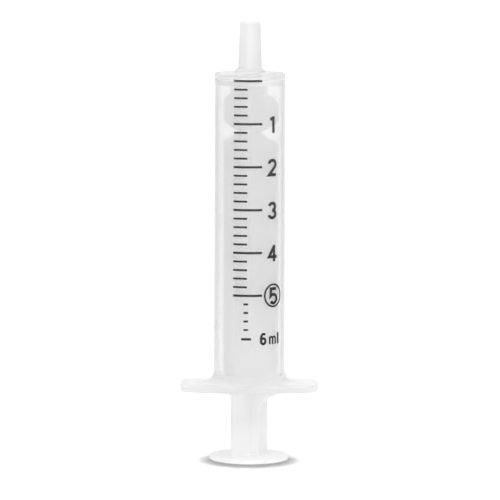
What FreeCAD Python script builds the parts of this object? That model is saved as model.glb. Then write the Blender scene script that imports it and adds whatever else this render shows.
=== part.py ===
import FreeCAD, Part
import math
import os

# A two-piece slip-tip syringe of 5 ml, in millimetres, as its two mouldings.
# It stands on its thumb disc with the nozzle up and the plunger pushed home.
# The origin is the middle of the thumb disc's underside, and X runs along the finger flange.

Vector = FreeCAD.Vector
UP = Vector(0, 0, 1)

# Barrel: tube and end wall
bore_radius = 6.2
barrel_wall = 0.75
barrel_draft = 0.09
barrel_length = 61.7
end_wall = 0.9
end_round = 0.4
bore_chamfer = 0.3

# Barrel: open mouth, with the low bead that keeps the plunger from being drawn right out
mouth_flare = 0.3
mouth_flare_length = 1.2
bead_height = 0.12
bead_length = 1.2
bead_round = 1.0
bead_from_mouth = 2.6

# Barrel: slip nozzle, whose cone narrows by 6 mm of diameter in 100 mm of length
boss_radius = 2.85
boss_height = 0.85
boss_bevel = 0.3
nozzle_length = 8.95
nozzle_tip_radius = 2.015
nozzle_taper = 0.06
nozzle_bore_radius = 1.05
nozzle_inlet = 0.35
tip_bevel = 0.2

# Barrel: finger flange, measured from the barrel's outside
flange_reach = 6.5
flange_side = 0.45
flange_thickness = 1.3
flange_end_bulge = 0.55
flange_end_width = 10.4
flange_corner = 1.2
flange_edge = 0.2
flange_root = 2.5

# Plunger: overall length from the thumb face to the front of the head
plunger_length = 74.41
seat_gap = 0.02

# Plunger: sealing head with two lips
seal_clearance = 0.03
head_height = 1.45
head_lip = 0.5
head_groove = 0.22
head_front_bevel = 0.42
head_back_bevel = 0.15

# Plunger: cross of two ribs
rib_thickness = 1.0
rib_clearance = 0.25
rib_turn = 32.5
rib_root = 0.3
core_fillet = 0.35
edge_round = 0.3

# Plunger: the first rib narrows to a stem outside the barrel
stem_half_width = 2.5
shoulder_below_mouth = 0.85
shoulder_fall = 1.05
shoulder_radius = 4.0

# Plunger: notch in both ribs, and the lobe of the first rib above it
notch_radius = 2.15
notch_apex_below_head = 9.2
notch_low_side = 1.9
notch_high_side = 1.82
notch_round = 0.15
lobe_lower_round = 1.8
lobe_upper_round = 2.4
lobe_gap = 1.75
neck_half_width = 2.5
neck_round = 0.4

# Plunger: thumb disc, with a gate dimple and two grip grooves in its underside
thumb_radius = 7.8
thumb_thickness = 0.75
thumb_edge = 0.25
thumb_foot_bevel = 0.12
dimple_radius = 1.6
dimple_depth = 0.2
grip_groove_width = 0.7
grip_groove_depth = 0.15
grip_groove_radii = (3.6, 5.6)

# Heights and radii that follow from the sizes above
outer_radius = bore_radius + barrel_wall
inner_end = plunger_length + seat_gap
barrel_end = inner_end + end_wall
mouth = barrel_end - barrel_length
flange_top = mouth + flange_thickness
draft_start = flange_top + 2 * flange_root
boss_top = barrel_end + boss_height
tip = boss_top + nozzle_length
nozzle_base_radius = nozzle_tip_radius + nozzle_taper * nozzle_length / 2

head_radius = bore_radius - seal_clearance
head_back = plunger_length - head_height
rib_radius = bore_radius - rib_clearance
notch_apex = head_back - notch_apex_below_head
shoulder = mouth - shoulder_below_mouth
lobe_top = head_back - lobe_gap


def side(start, end):
    """A straight edge. A long sloping one is a spline, which turns into a face of few facets."""
    line = Part.makeLine(start, end)
    sloping = abs(end.x - start.x) > 1e-6 and abs(end.z - start.z) > 1e-6
    if sloping and line.Length > bore_radius * 4:
        return line.Curve.toBSpline(line.FirstParameter, line.LastParameter).toShape()
    return line


def rounded(corners):
    """A closed wire in the XZ plane through (x, z, radius) corners, each rounded to its radius."""
    edges = []
    last = None
    first = None
    count = len(corners)
    for i, (x, z, radius) in enumerate(corners):
        here = Vector(x, 0, z)
        before = Vector(corners[i - 1][0], 0, corners[i - 1][1])
        after = Vector(corners[(i + 1) % count][0], 0, corners[(i + 1) % count][1])
        back = (before - here).normalize()
        ahead = (after - here).normalize()
        start = here
        end = here
        if radius > 0:
            half_angle = back.getAngle(ahead) / 2
            reach = radius / math.tan(half_angle)
            start = here + back * reach
            end = here + ahead * reach
            inward = (back + ahead).normalize()
            middle = here + inward * (radius / math.sin(half_angle) - radius)
        if last is not None:
            edges.append(side(last, start))
        else:
            first = start
        if radius > 0:
            edges.append(Part.Arc(start, middle, end).toShape())
        last = end
    edges.append(side(last, first))
    return Part.Wire(edges)


def turned(corners):
    """A solid of revolution about Z from the corners of its half section."""
    return Part.Face(rounded(corners)).revolve(Vector(), UP, 360)


def plate(corners, thickness):
    """A flat plate standing in the XZ plane, centred on it."""
    face = Part.Face(rounded(corners))
    face.translate(Vector(0, -thickness / 2, 0))
    return face.extrude(Vector(0, thickness, 0))


def both_sides(right_side):
    """The corners of an outline that is the same on both sides of Z, from those of its right side."""
    left_side = [(-x, z, radius) for x, z, radius in reversed(right_side)]
    return right_side + left_side


def barrel_outside():
    """Tube, boss and nozzle as one turned form. The tube narrows a little from the flange to its end."""
    return turned([
        (0, mouth, 0),
        (outer_radius, mouth, 0),
        (outer_radius, draft_start, 0),
        (outer_radius - barrel_draft, barrel_end, end_round),
        (boss_radius, barrel_end, 0),
        (boss_radius, boss_top - boss_bevel, 0),
        (boss_radius - boss_bevel, boss_top, 0),
        (nozzle_base_radius, boss_top, 0),
        (nozzle_tip_radius, tip - tip_bevel, 0),
        (nozzle_tip_radius - tip_bevel, tip, 0),
        (0, tip, 0),
    ])


def barrel_core():
    """The space inside: mouth, bore with its bead, and the nozzle's bore."""
    below = mouth - 1
    above = tip + 1
    bead = mouth + bead_from_mouth
    return turned([
        (0, below, 0),
        (bore_radius + mouth_flare, below, 0),
        (bore_radius + mouth_flare, mouth, 0),
        (bore_radius, mouth + mouth_flare_length, 0),
        (bore_radius, bead - bead_length / 2, 0),
        (bore_radius - bead_height, bead, bead_round),
        (bore_radius, bead + bead_length / 2, 0),
        (bore_radius, inner_end - bore_chamfer, 0),
        (bore_radius - bore_chamfer, inner_end, 0),
        (nozzle_bore_radius + nozzle_inlet, inner_end, 0),
        (nozzle_bore_radius, inner_end + nozzle_inlet, 0),
        (nozzle_bore_radius, above, 0),
        (0, above, 0),
    ])


def finger_flange():
    """The flange's outline is four arcs with rounded corners, widest across the barrel."""
    half_length = outer_radius + flange_reach
    half_width = outer_radius + flange_side
    corner_x = half_length - flange_end_bulge
    corner_y = flange_end_width / 2
    corners = [Vector(sx * corner_x, sy * corner_y, mouth) for sx, sy in ((1, 1), (-1, 1), (-1, -1), (1, -1))]
    middles = [
        Vector(0, half_width, mouth),
        Vector(-half_length, 0, mouth),
        Vector(0, -half_width, mouth),
        Vector(half_length, 0, mouth),
    ]
    arcs = [Part.Arc(corners[i], middles[i], corners[(i + 1) % 4]).toShape() for i in range(4)]
    slab = Part.Face(Part.Wire(arcs)).extrude(UP * flange_thickness)
    upright = [edge for edge in slab.Edges if abs(edge.tangentAt(edge.FirstParameter).z) > 0.99]
    slab = slab.makeFillet(flange_corner, upright)
    rims = [edge for edge in slab.Edges if abs(edge.tangentAt(edge.FirstParameter).z) < 0.01]
    return slab.makeChamfer(flange_edge, rims)


def make_barrel():
    """One moulding: tube, end wall, nozzle and finger flange.

    The hollow fillet between tube and flange is full along X and dies away at the flange's narrow sides,
    so it is made on one quarter, which is then mirrored twice.
    """
    outside = barrel_outside().fuse(finger_flange()).removeSplitter()
    far = 2 * tip
    quarter = outside.common(Part.makeBox(far, far, far))
    roots = []
    for edge in quarter.Edges:
        at = edge.valueAt((edge.FirstParameter + edge.LastParameter) / 2)
        on_wall = abs(math.hypot(at.x, at.y) - outer_radius) < 1e-4
        if on_wall and abs(at.z - flange_top) < 1e-4:
            roots.append(edge)
    side_land = flange_side - flange_edge
    quarter = quarter.makeFillet(flange_root, 0.4 * side_land, roots)
    half = quarter.fuse(quarter.mirror(Vector(), Vector(1, 0, 0)))
    whole = half.fuse(half.mirror(Vector(), Vector(0, 1, 0)))
    return whole.removeSplitter().cut(barrel_core()).removeSplitter()


def wide_rib():
    """The rib that is cut away under the head and narrows to the stem below the barrel."""
    return plate(both_sides([
        (stem_half_width, thumb_thickness - rib_root, 0),
        (stem_half_width, shoulder - shoulder_fall, shoulder_radius),
        (rib_radius, shoulder, edge_round),
        (rib_radius, notch_apex - notch_low_side, edge_round),
        (notch_radius, notch_apex, notch_round),
        (rib_radius, notch_apex + notch_high_side, lobe_lower_round),
        (rib_radius, lobe_top, lobe_upper_round),
        (neck_half_width, lobe_top, neck_round),
        (neck_half_width, head_back + rib_root, 0),
    ]), rib_thickness)


def straight_rib():
    """The rib that keeps its full width from the thumb disc to the head, but for the notch."""
    return plate(both_sides([
        (rib_radius, thumb_thickness - rib_root, 0),
        (rib_radius, notch_apex - notch_low_side, edge_round),
        (notch_radius, notch_apex, notch_round),
        (rib_radius, notch_apex + notch_high_side, lobe_lower_round),
        (rib_radius, head_back + rib_root, 0),
    ]), rib_thickness)


def sealing_head():
    """A disc with two thin lips that wipe the bore, and a shallow groove between them."""
    groove_top = plunger_length - head_lip
    groove_bottom = head_back + head_lip
    groove_radius = head_radius - head_groove
    return turned([
        (0, head_back, 0),
        (head_radius - head_back_bevel, head_back, 0),
        (head_radius, head_back + head_back_bevel, 0),
        (head_radius, groove_bottom, 0),
        (groove_radius, groove_bottom, 0),
        (groove_radius, groove_top, 0),
        (head_radius, groove_top, 0),
        (head_radius - head_front_bevel, plunger_length, 0),
        (0, plunger_length, 0),
    ])


def thumb_disc():
    """A round plate, with grip grooves and a gate dimple in the face that the thumb presses."""
    grooves = []
    for radius in grip_groove_radii:
        inner = radius - grip_groove_width / 2
        outer = radius + grip_groove_width / 2
        grooves += [
            (inner, 0, 0),
            (inner + grip_groove_depth, grip_groove_depth, 0),
            (outer - grip_groove_depth, grip_groove_depth, 0),
            (outer, 0, 0),
        ]
    return turned([
        (0, thumb_thickness, 0),
        (0, dimple_depth, 0),
        (dimple_radius - dimple_depth, dimple_depth, 0),
        (dimple_radius, 0, 0),
    ] + grooves + [
        (thumb_radius - thumb_foot_bevel, 0, 0),
        (thumb_radius, thumb_foot_bevel, 0),
        (thumb_radius, thumb_thickness, thumb_edge),
    ])


def make_plunger():
    """One moulding: sealing head, crossed ribs and thumb disc."""
    across = straight_rib()
    across.rotate(Vector(), UP, 90)
    rod = wide_rib().fuse(across)
    corner = rib_thickness / 2
    inside = []
    for edge in rod.Edges:
        at = edge.CenterOfMass
        if abs(abs(at.x) - corner) < 1e-4 and abs(abs(at.y) - corner) < 1e-4 and edge.Length > rib_radius:
            inside.append(edge)
    rod = rod.makeFillet(core_fillet, inside)
    rod.rotate(Vector(), UP, -rib_turn)
    return rod.fuse([sealing_head(), thumb_disc()]).removeSplitter()


os.makedirs("parts", exist_ok=True)
for name, shape in (("barrel", make_barrel()), ("plunger", make_plunger())):
    solid = shape.Solids[0]
    solid.exportStep(os.path.join("parts", name + ".step"))
    print(name, "solids", len(shape.Solids), "valid", solid.isValid(), "mm3", round(solid.Volume, 1))
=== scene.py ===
import math

import bmesh
import bpy
from mathutils import Matrix, Vector


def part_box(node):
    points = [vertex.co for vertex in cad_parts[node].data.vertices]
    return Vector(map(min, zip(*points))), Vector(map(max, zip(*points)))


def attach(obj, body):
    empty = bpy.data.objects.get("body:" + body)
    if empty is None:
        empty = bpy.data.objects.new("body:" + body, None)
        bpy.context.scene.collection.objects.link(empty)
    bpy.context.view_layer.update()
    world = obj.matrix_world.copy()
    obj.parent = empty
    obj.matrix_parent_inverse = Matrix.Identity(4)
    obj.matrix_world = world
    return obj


# Looks of a clear slip-tip syringe standing on its thumb disc. Lengths are metres, angles radians.
# The barrel's printed side faces -Y, where the camera stands.

MM = 0.001
WHITE = (1, 1, 1, 1)
BLACK = (0, 0, 0, 1)

# Camera, fitted to the photograph's frame of 500 x 500
CAMERA_PLACE = (0.00009, -0.72835, 0.12069)
CAMERA_PITCH = 0.1092
CAMERA_ROLL = 0.003
CAMERA_SENSOR = 36.0
CAMERA_FOCAL_LENGTH = 271.75
CAMERA_FAR = 20.0

# World: white ahead and behind, dimmer towards the sides. The fall starts and ends at these values
# of X in a direction of length 1.
SIDE_LIGHT = 0.56
SIDE_START = 0.3
SIDE_FULL = 0.6

# Softboxes: name, place, width, height, power
LAMP_AIM = (0, 0, 45 * MM)
LAMPS = (
    ("key_light", (-0.55, -0.6, 0.55), 0.5, 0.7, 0.15),
    ("fill_light", (0.7, -0.45, 0.3), 0.4, 0.7, 0.75),
    ("top_light", (0, -0.2, 0.88), 0.8, 0.6, 1.8),
)

# Floor: its glow for the camera, for rays through or off the plastic, and for diffuse rays
FLOOR_SIZE = 8.0
FLOOR_COLOUR = 0.9
FLOOR_TOP_UP = 0.38
FLOOR_THROUGH = 0.27
FLOOR_GLOW = 0.225

# Contact shadow on the floor, round a point a little in front of the axis
SHADOW_FORWARD = 3.0 * MM
SHADOW_CORE = 6.6 * MM
SHADOW_EDGE = 12.2 * MM
SHADOW_COLOUR = 0.34

# Milkiness of the barrel's plastic, per metre of depth
MILK_SCATTER = 320.0
MILK_ABSORPTION = 1.8

# Roughness of the barrel: polished tube, matt flange with its root, matt closed end
POLISHED = 0.13
MATT = 0.45
GRAIN = 0.02
FLANGE_THICKNESS = 1.3 * MM
FLANGE_ROOT = 3.4 * MM
MATT_END = 2.2 * MM

# Whiteness of the plunger, with painted shade: most in the thumb disc, least in the stem above it
# The stem is painted darker as shade under the flange, and lighter towards the disc as light off the floor
DISC_UP_TO = 2.2 * MM
STEM_FROM = 8.0 * MM
STEM_UP_TO = 16.0 * MM
RIBS_FROM = 23.0 * MM
DISC_WHITE = 0.996
STEM_SHADED_WHITE = 0.835
RIB_WHITE = 0.99
CLOUD = 0.007

# Spread of a noise texture's usual values
NOISE_LOW = 0.3
NOISE_HIGH = 0.7

# Parts of the barrel, told apart by radius as shares of the flange's reach, and by height
TUBE_SHARE = 0.4
OUTSIDE_SHARE = 0.47
PRINTED_LENGTH = 56 * MM

# Printed marks: heights along the barrel, angles round it from the front, to the right
MARKS_PER_ML = 5
NUMBERED_ML = 5
LAST_ML = 6
ML_HEIGHT = 8.277 * MM
ZERO_BELOW_END = 1.255 * MM
MARK_LEFT = math.radians(-27.4)
LONG_MARK_RIGHT = math.radians(20.8)
SHORT_MARK_RIGHT = math.radians(-4.0)
SMALL_MARK_LEFT = math.radians(-9.6)
SMALL_MARK_RIGHT = math.radians(-2.0)
LAST_MARK_LEFT = math.radians(-13.2)
LAST_MARK_RIGHT = math.radians(3.0)
LAST_MARK_LOWER = 0.16 * MM
LONG_MARK_HEIGHT = 0.44 * MM
SHORT_MARK_HEIGHT = 0.38 * MM

# Printed digits, at these degrees to the right; strokes are shares of a letter's height
DIGIT_DEGREES = {"1": 40.8, "2": 40.2, "3": 39.8, "4": 41.0, "5": 42.4}
DIGIT_HEIGHT = 3.2 * MM
DIGIT_STROKE = 0.184
DIGIT_LOWER = 0.16 * MM
RING_ANGLE = math.radians(42.1)
RING_ACROSS = 1.98 * MM
RING_UP = 2.14 * MM
RING_STROKE = 0.37 * MM
RING_LOWER = 0.08 * MM
RING_STEPS = 48

# Letters beside the last mark: letter, height, stroke, degrees to the right
LAST_LETTERS = (
    ("6", 2.25 * MM, 0.205, 22.9),
    ("m", 2.2 * MM, 0.172, 40.6),
    ("l", 2.2 * MM, 0.22, 52.6),
)

# Ink
INK_LIFT = 0.002 * MM
INK_THICKNESS = 0.015 * MM
STRIP_WIDTH = 0.2 * MM
SHARPEST_MITRE = 0.3
SAME_PLACE = 0.001 * MM
CUT_TOLERANCE = 1e-7

# Light bounces, for plastic seen through plastic
CLEAR_BOUNCES = 24
SOFT_BOUNCES = 8


def new_object(name, mesh, body=None):
    piece = bpy.data.objects.new(name, mesh)
    bpy.context.scene.collection.objects.link(piece)
    if body:
        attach(piece, body)
    return piece


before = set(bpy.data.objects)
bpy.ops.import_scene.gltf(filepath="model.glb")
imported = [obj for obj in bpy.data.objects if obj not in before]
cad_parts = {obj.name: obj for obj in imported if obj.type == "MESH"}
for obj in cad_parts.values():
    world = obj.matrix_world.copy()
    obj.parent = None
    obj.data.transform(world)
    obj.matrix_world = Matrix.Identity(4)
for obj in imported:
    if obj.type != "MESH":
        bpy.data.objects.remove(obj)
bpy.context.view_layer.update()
scene = bpy.context.scene
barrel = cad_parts["barrel"]
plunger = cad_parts["plunger"]

# Height and radius of each of the barrel's points
barrel_points = [(v.co.z, math.hypot(v.co.x, v.co.y)) for v in barrel.data.vertices]
flange_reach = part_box("barrel")[1].x
barrel_end = max(z for z, r in barrel_points if r > TUBE_SHARE * flange_reach)


# Nodes

def fill(tree, node, values):
    """Sets a node's inputs: a socket is linked, anything else becomes the input's own value."""
    for name, value in values.items():
        if isinstance(value, bpy.types.NodeSocket):
            tree.links.new(value, node.inputs[name])
        else:
            node.inputs[name].default_value = value


def new_node(tree, kind, values):
    node = tree.nodes.new(kind)
    fill(tree, node, values)
    return node


def new_material(name):
    material = bpy.data.materials.new(name)
    material.use_nodes = True
    tree = material.node_tree
    tree.nodes.clear()
    out = tree.nodes.new("ShaderNodeOutputMaterial")
    return material, tree, out


def own_place(tree):
    """Coordinates in the object's own metres."""
    return tree.nodes.new("ShaderNodeTexCoord").outputs["Object"]


def part_of(tree, vector, axis):
    return new_node(tree, "ShaderNodeSeparateXYZ", {0: vector}).outputs[axis]


def noise(tree, scale, detail=2.0):
    values = {"Vector": own_place(tree), "Scale": scale, "Detail": detail}
    return new_node(tree, "ShaderNodeTexNoise", values).outputs["Fac"]


def mapped(tree, value, start, end, low=0.0, high=1.0, smooth=False):
    """Takes start to low and end to high."""
    node = tree.nodes.new("ShaderNodeMapRange")
    if smooth:
        node.interpolation_type = "SMOOTHSTEP"
    fill(tree, node, {"Value": value, "From Min": start, "From Max": end, "To Min": low, "To Max": high})
    return node.outputs["Result"]


def varied(tree, texture, low, high):
    return mapped(tree, texture, NOISE_LOW, NOISE_HIGH, low, high)


def mixed(tree, share, first, second):
    """A grey or a colour between two, each given as a number or as three."""
    first, second = ((c,) * 3 if isinstance(c, (int, float)) else c for c in (first, second))
    node = tree.nodes.new("ShaderNodeMix")
    node.data_type = "RGBA"
    fill(tree, node, {"Factor": share, "A": (*first, 1), "B": (*second, 1)})
    return node.outputs["Result"]


def bumped(tree, texture, strength, distance):
    values = {"Height": texture, "Strength": strength, "Distance": distance}
    return new_node(tree, "ShaderNodeBump", values).outputs["Normal"]


def maths(tree, operation, first, second=0.0):
    """A Math node; each operand is a socket or a number."""
    node = tree.nodes.new("ShaderNodeMath")
    node.operation = operation
    fill(tree, node, {0: first, 1: second})
    return node.outputs[0]


def added(tree, first, second):
    """Both shaders together."""
    return new_node(tree, "ShaderNodeAddShader", {0: first, 1: second}).outputs["Shader"]


def height_share(tree, nothing, full):
    """0 at one height and 1 at the other."""
    return mapped(tree, part_of(tree, own_place(tree), "Z"), nothing, full)


def by_side(tree, vector, ahead, aside):
    """One value ahead and behind, and another towards the sides, for a direction of length 1."""
    sideways = maths(tree, "ABSOLUTE", part_of(tree, vector, "X"))
    return mapped(tree, sideways, SIDE_START, SIDE_FULL, ahead, aside, smooth=True)


# Materials

def barrel_polypropylene():
    """Clear, slightly milky plastic with a smooth moulded gloss, matt on the flange and closed end."""
    material, tree, out = new_material("barrel_polypropylene")
    flange_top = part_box("barrel")[0].z + FLANGE_THICKNESS
    on_flange = height_share(tree, flange_top + FLANGE_ROOT, flange_top)
    on_end = height_share(tree, barrel_end - MATT_END, barrel_end)
    mattness = maths(tree, "MULTIPLY", maths(tree, "MAXIMUM", on_flange, on_end), MATT - POLISHED)
    grain = varied(tree, noise(tree, 420.0), POLISHED - GRAIN, POLISHED + GRAIN)
    shader = new_node(tree, "ShaderNodeBsdfPrincipled", {
        "Base Color": mixed(tree, noise(tree, 180.0), 0.99, 1.0),
        "Roughness": maths(tree, "ADD", grain, mattness),
        "IOR": 1.49,
        "Transmission Weight": 1.0,
    })
    milk_values = {"Color": WHITE, "Density": MILK_SCATTER, "Anisotropy": 0.3}
    milk = new_node(tree, "ShaderNodeVolumeScatter", milk_values)
    grey = new_node(tree, "ShaderNodeVolumeAbsorption", {"Color": BLACK, "Density": MILK_ABSORPTION})
    depth = added(tree, grey.outputs["Volume"], milk.outputs["Volume"])
    fill(tree, out, {"Surface": shader.outputs["BSDF"], "Volume": depth})
    return material


def plunger_polyethylene():
    """Milky translucent plastic with a satin surface. The stem's colour is darkened as painted shade."""
    material, tree, out = new_material("plunger_polyethylene")
    # Painted shade: the stem between the disc and the ribs gets a darker white than the rest of the plunger
    disc_share = height_share(tree, STEM_FROM, DISC_UP_TO)
    rib_share = height_share(tree, STEM_UP_TO, RIBS_FROM)
    on_disc = maths(tree, "MULTIPLY", disc_share, DISC_WHITE - STEM_SHADED_WHITE)
    on_ribs = maths(tree, "MULTIPLY", rib_share, RIB_WHITE - STEM_SHADED_WHITE)
    whiteness_with_painted_shade = maths(tree, "ADD", maths(tree, "ADD", on_disc, on_ribs), STEM_SHADED_WHITE)
    cloud = varied(tree, noise(tree, 140.0), -CLOUD, CLOUD)
    shader = new_node(tree, "ShaderNodeBsdfPrincipled", {
        "Base Color": mixed(tree, maths(tree, "ADD", whiteness_with_painted_shade, cloud), 0.0, (1.0, 1.0, 0.997)),
        "Roughness": varied(tree, noise(tree, 900.0, detail=4.0), 0.34, 0.46),
        "Normal": bumped(tree, noise(tree, 1500.0, detail=3.0), strength=0.08, distance=0.1 * MM),
        "IOR": 1.51,
        "Transmission Weight": 0.05,
        "Subsurface Weight": 0.8,
        "Subsurface Radius": (1.0, 1.0, 1.0),
        "Subsurface Scale": 3 * MM,
    })
    fill(tree, out, {"Surface": shader.outputs["BSDF"]})
    return material


def scale_ink():
    """Black printing ink, a little uneven."""
    material, tree, out = new_material("scale_ink")
    wear = noise(tree, 2600.0, detail=3.0)
    shader = new_node(tree, "ShaderNodeBsdfPrincipled", {
        "Base Color": mixed(tree, wear, 0.002, 0.006),
        "Roughness": varied(tree, wear, 0.42, 0.6),
        "Specular IOR Level": 0.04,
    })
    fill(tree, out, {"Surface": shader.outputs["BSDF"]})
    return material


def floor_white():
    """White satin board with the contact shadow, which only the camera sees. Its glow lifts it to plain
    white for the camera, and lights the plastic, less from the sides."""
    material, tree, out = new_material("floor_white")
    place = own_place(tree)
    ray = tree.nodes.new("ShaderNodeLightPath").outputs
    seen = ray["Is Camera Ray"]

    reach = tree.nodes.new("ShaderNodeVectorMath")
    reach.operation = "DISTANCE"
    fill(tree, reach, {0: place, 1: (0, -SHADOW_FORWARD, 0)})
    fade = mapped(tree, reach.outputs["Value"], SHADOW_CORE, SHADOW_EDGE, smooth=True)
    unshaded = maths(tree, "MAXIMUM", fade, maths(tree, "SUBTRACT", 1.0, seen))
    shader = new_node(tree, "ShaderNodeBsdfPrincipled", {
        "Base Color": mixed(tree, unshaded, SHADOW_COLOUR, FLOOR_COLOUR),
        "Roughness": varied(tree, noise(tree, 60.0), 0.25, 0.3),
        "Specular IOR Level": 0.03,
    })

    way = tree.nodes.new("ShaderNodeVectorMath")
    way.operation = "NORMALIZE"
    fill(tree, way, {0: place})
    through = by_side(tree, way.outputs["Vector"], FLOOR_THROUGH, 0.0)
    strength = maths(tree, "MULTIPLY", maths(tree, "MULTIPLY", seen, unshaded), FLOOR_TOP_UP)
    for kind, share in (("Glossy", through), ("Transmission", through), ("Diffuse", FLOOR_GLOW)):
        part = maths(tree, "MULTIPLY", ray["Is %s Ray" % kind], share)
        strength = maths(tree, "MAXIMUM", strength, part)
    glow = new_node(tree, "ShaderNodeEmission", {"Strength": strength})
    fill(tree, out, {"Surface": added(tree, shader.outputs["BSDF"], glow.outputs["Emission"])})
    return material


def dress(node, material):
    for slot in node.material_slots:
        slot.material = material


dress(barrel, barrel_polypropylene())
dress(plunger, plunger_polyethylene())


# Printed scale on the barrel's drafted outside

printed_from = barrel_end - PRINTED_LENGTH
outside = [(z, r) for z, r in barrel_points if r > OUTSIDE_SHARE * flange_reach and z > printed_from]
outside_low = min(outside)
outside_high = max(outside)


def outside_radius(z):
    share = (z - outside_low[0]) / (outside_high[0] - outside_low[0])
    return outside_low[1] + (outside_high[1] - outside_low[1]) * share


def wrapped(flat, angle, height):
    """Bends a flat ink shape (x across, y up, z out) round the barrel, centred on that angle and height."""
    radius = outside_radius(height)
    for vert in flat.verts:
        x, y, z = vert.co
        turn = angle + x / radius
        out = outside_radius(height + y) + INK_LIFT + z
        vert.co = (out * math.sin(turn), -out * math.cos(turn), height + y)


def sliced(flat):
    """Cuts a flat shape into narrow strips, so that it bends smoothly."""
    xs = [v.co.x for v in flat.verts]
    x = math.ceil(min(xs) / STRIP_WIDTH) * STRIP_WIDTH
    while x < max(xs):
        cut = {"plane_co": (x, 0, 0), "plane_no": (1, 0, 0), "dist": CUT_TOLERANCE}
        bmesh.ops.bisect_plane(flat, geom=flat.verts[:] + flat.edges[:] + flat.faces[:], **cut)
        x += STRIP_WIDTH


def left_of(way):
    return Vector((-way.y, way.x))


def ribbon(points, width):
    """A flat solid of ink that follows a line of points with that width and mitred corners.
    Where the last point is the first one, it is a ring."""
    ring = math.dist(points[0], points[-1]) < SAME_PLACE
    line = [Vector(point) for point in (points[:-1] if ring else points)]
    flat = bmesh.new()
    rows = []
    for i, here in enumerate(line):
        ways = []
        if ring or i > 0:
            ways.append((here - line[i - 1]).normalized())
        if ring or i < len(line) - 1:
            ways.append((line[(i + 1) % len(line)] - here).normalized())
        side = left_of(sum(ways, Vector((0, 0))).normalized())
        stretch = 1 / max(SHARPEST_MITRE, side.dot(left_of(ways[0])))
        offset = side * (width / 2 * stretch)
        edges = (here + offset, here - offset)
        rows.append([flat.verts.new((edge.x, edge.y, z)) for edge in edges for z in (0, INK_THICKNESS)])
    next_rows = rows[1:] + rows[:1] if ring else rows[1:]
    for (a0, a1, b0, b1), (c0, c1, d0, d1) in zip(rows, next_rows):
        for face in ((a1, b1, d1, c1), (a0, c0, d0, b0), (a0, a1, c1, c0), (b0, d0, d1, b1)):
            flat.faces.new(face)
    if not ring:
        for a0, a1, b0, b1 in (rows[0], rows[-1]):
            flat.faces.new((a0, b0, b1, a1))
    bmesh.ops.recalc_face_normals(flat, faces=flat.faces)
    return flat


def arc(x, y, across, up, start, end, steps=16):
    """Points of an ellipse's arc, from start to end degrees."""
    turns = [math.radians(start + (end - start) * i / steps) for i in range(steps + 1)]
    return [(x + across * math.cos(t), y + up * math.sin(t)) for t in turns]


# Digits and letters as pen strokes, 1 high with the origin at the bottom middle
GLYPHS = {
    "1": [
        [(0.06, 0.0), (0.06, 1.0)],
        [(-0.17, 0.80), (0.07, 0.93)],
    ],
    "2": [
        arc(0, 0.70, 0.25, 0.24, 172, -28) + [(-0.24, 0.065), (0.29, 0.065)],
    ],
    "3": [
        arc(0, 0.72, 0.22, 0.22, 165, -90),
        arc(0, 0.28, 0.25, 0.225, 90, -168),
    ],
    "4": [
        [(0.10, 0.0), (0.10, 1.0)],
        [(0.10, 0.93), (-0.28, 0.29), (0.32, 0.29)],
    ],
    "5": [
        [(0.23, 0.93), (-0.19, 0.93), (-0.22, 0.49)] + arc(-0.01, 0.325, 0.265, 0.265, 138, -142),
    ],
    "6": [
        arc(0, 0.31, 0.20, 0.25, 0, 360),
        arc(0.04, 0.50, 0.24, 0.44, 190, 55),
    ],
    "m": [
        [(-0.32, 0.0), (-0.32, 0.70)],
        arc(-0.16, 0.46, 0.16, 0.19, 180, 0) + [(0.0, 0.0)],
        arc(0.16, 0.46, 0.16, 0.19, 180, 0) + [(0.32, 0.0)],
    ],
    "l": [
        [(0.0, 0.0), (0.0, 1.0)],
    ],
}


def united(parts):
    """One mesh from several overlapping closed ones."""
    objects = []
    for part in parts:
        mesh = bpy.data.meshes.new("stroke")
        part.to_mesh(mesh)
        part.free()
        objects.append(new_object("stroke", mesh))
    first = objects[0]
    for other in objects[1:]:
        union = first.modifiers.new("union", "BOOLEAN")
        union.operation = "UNION"
        union.solver = "EXACT"
        union.object = other
    graph = bpy.context.evaluated_depsgraph_get()
    joined = bmesh.new()
    joined.from_mesh(bpy.data.meshes.new_from_object(first.evaluated_get(graph)))
    for each in objects:
        bpy.data.objects.remove(each)
    return joined


def glyph(letter, height, stroke):
    strokes = []
    for points in GLYPHS[letter]:
        scaled = [(x * height, y * height - height / 2) for x, y in points]
        strokes.append(ribbon(scaled, stroke * height))
    return united(strokes) if len(strokes) > 1 else strokes[0]


print_mesh = bmesh.new()


def add_print(flat, angle, height):
    sliced(flat)
    wrapped(flat, angle, height)
    part = bpy.data.meshes.new("part")
    flat.to_mesh(part)
    flat.free()
    print_mesh.from_mesh(part)
    bpy.data.meshes.remove(part)


def add_mark(left, right, height, thickness):
    width = (right - left) * outside_radius(height)
    bar = ribbon([(-width / 2, 0), (width / 2, 0)], thickness)
    add_print(bar, (left + right) / 2, height)


def mark_height(ml):
    return barrel_end - ZERO_BELOW_END - ml * ML_HEIGHT


last_height = mark_height(LAST_ML) - LAST_MARK_LOWER
for step in range(LAST_ML * MARKS_PER_ML):
    height = mark_height(step / MARKS_PER_ML)
    if step > NUMBERED_ML * MARKS_PER_ML:
        add_mark(SMALL_MARK_LEFT, SMALL_MARK_RIGHT, height, SHORT_MARK_HEIGHT)
    elif step % MARKS_PER_ML:
        add_mark(MARK_LEFT, SHORT_MARK_RIGHT, height, SHORT_MARK_HEIGHT)
    else:
        add_mark(MARK_LEFT, LONG_MARK_RIGHT, height, LONG_MARK_HEIGHT)
add_mark(LAST_MARK_LEFT, LAST_MARK_RIGHT, last_height, LONG_MARK_HEIGHT)

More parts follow.
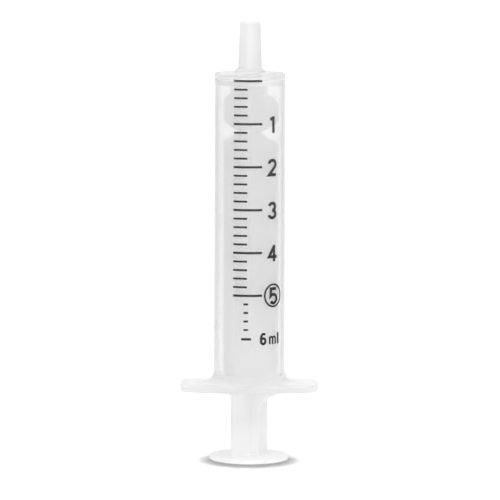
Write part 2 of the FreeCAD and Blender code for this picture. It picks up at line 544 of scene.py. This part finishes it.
for digit, degrees in DIGIT_DEGREES.items():
    drawn = glyph(digit, DIGIT_HEIGHT, DIGIT_STROKE)
    add_print(drawn, math.radians(degrees), mark_height(int(digit)) - DIGIT_LOWER)
ring = ribbon(arc(0, 0, RING_ACROSS, RING_UP, 0, 360, RING_STEPS), RING_STROKE)
add_print(ring, RING_ANGLE, mark_height(NUMBERED_ML) - RING_LOWER)
for letter, height, stroke, degrees in LAST_LETTERS:
    add_print(glyph(letter, height, stroke), math.radians(degrees), last_height)

mesh = bpy.data.meshes.new("scale_print")
print_mesh.to_mesh(mesh)
print_mesh.free()
mesh.materials.append(scale_ink())
new_object("scale_print", mesh, "barrel")


# Stage: floor, world, lamps and camera

floor_mesh = bpy.data.meshes.new("floor")
half = FLOOR_SIZE / 2
corners = [(-half, -half, 0), (half, -half, 0), (half, half, 0), (-half, half, 0)]
floor_mesh.from_pydata(corners, [], [(0, 1, 2, 3)])
floor_mesh.materials.append(floor_white())
floor = new_object("floor", floor_mesh)
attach(floor, "plunger")

world = bpy.data.worlds.new("studio")
scene.world = world
world.use_nodes = True
tree = world.node_tree
tree.nodes.clear()
world_out = tree.nodes.new("ShaderNodeOutputWorld")
direction = tree.nodes.new("ShaderNodeTexCoord").outputs["Generated"]
seen = tree.nodes.new("ShaderNodeLightPath").outputs["Is Camera Ray"]
side_strength = by_side(tree, direction, 1.0, SIDE_LIGHT)
light = new_node(tree, "ShaderNodeBackground", {"Color": WHITE, "Strength": side_strength})
white = new_node(tree, "ShaderNodeBackground", {"Color": WHITE})
choice = new_node(tree, "ShaderNodeMixShader", {0: seen, 1: light.outputs[0], 2: white.outputs[0]})
fill(tree, world_out, {"Surface": choice.outputs[0]})

for name, place, width, height, power in LAMPS:
    lamp = bpy.data.lights.new(name, "AREA")
    lamp.shape = "RECTANGLE"
    lamp.size = width
    lamp.size_y = height
    lamp.energy = power
    holder = new_object(name, lamp)
    holder.location = place
    holder.rotation_euler = (Vector(LAMP_AIM) - Vector(place)).to_track_quat("-Z", "Y").to_euler()

camera_data = bpy.data.cameras.new("camera")
camera_data.sensor_width = CAMERA_SENSOR
camera_data.lens = CAMERA_FOCAL_LENGTH
camera_data.clip_end = CAMERA_FAR
camera = new_object("camera", camera_data)
tilt = Matrix.Rotation(math.pi / 2 - CAMERA_PITCH, 4, "X") @ Matrix.Rotation(CAMERA_ROLL, 4, "Z")
camera.matrix_world = Matrix.Translation(CAMERA_PLACE) @ tilt
scene.camera = camera

scene.view_settings.view_transform = "Standard"
scene.cycles.max_bounces = CLEAR_BOUNCES
scene.cycles.glossy_bounces = CLEAR_BOUNCES
scene.cycles.transmission_bounces = CLEAR_BOUNCES
scene.cycles.diffuse_bounces = SOFT_BOUNCES
scene.cycles.volume_bounces = SOFT_BOUNCES
scene.cycles.blur_glossy = 0
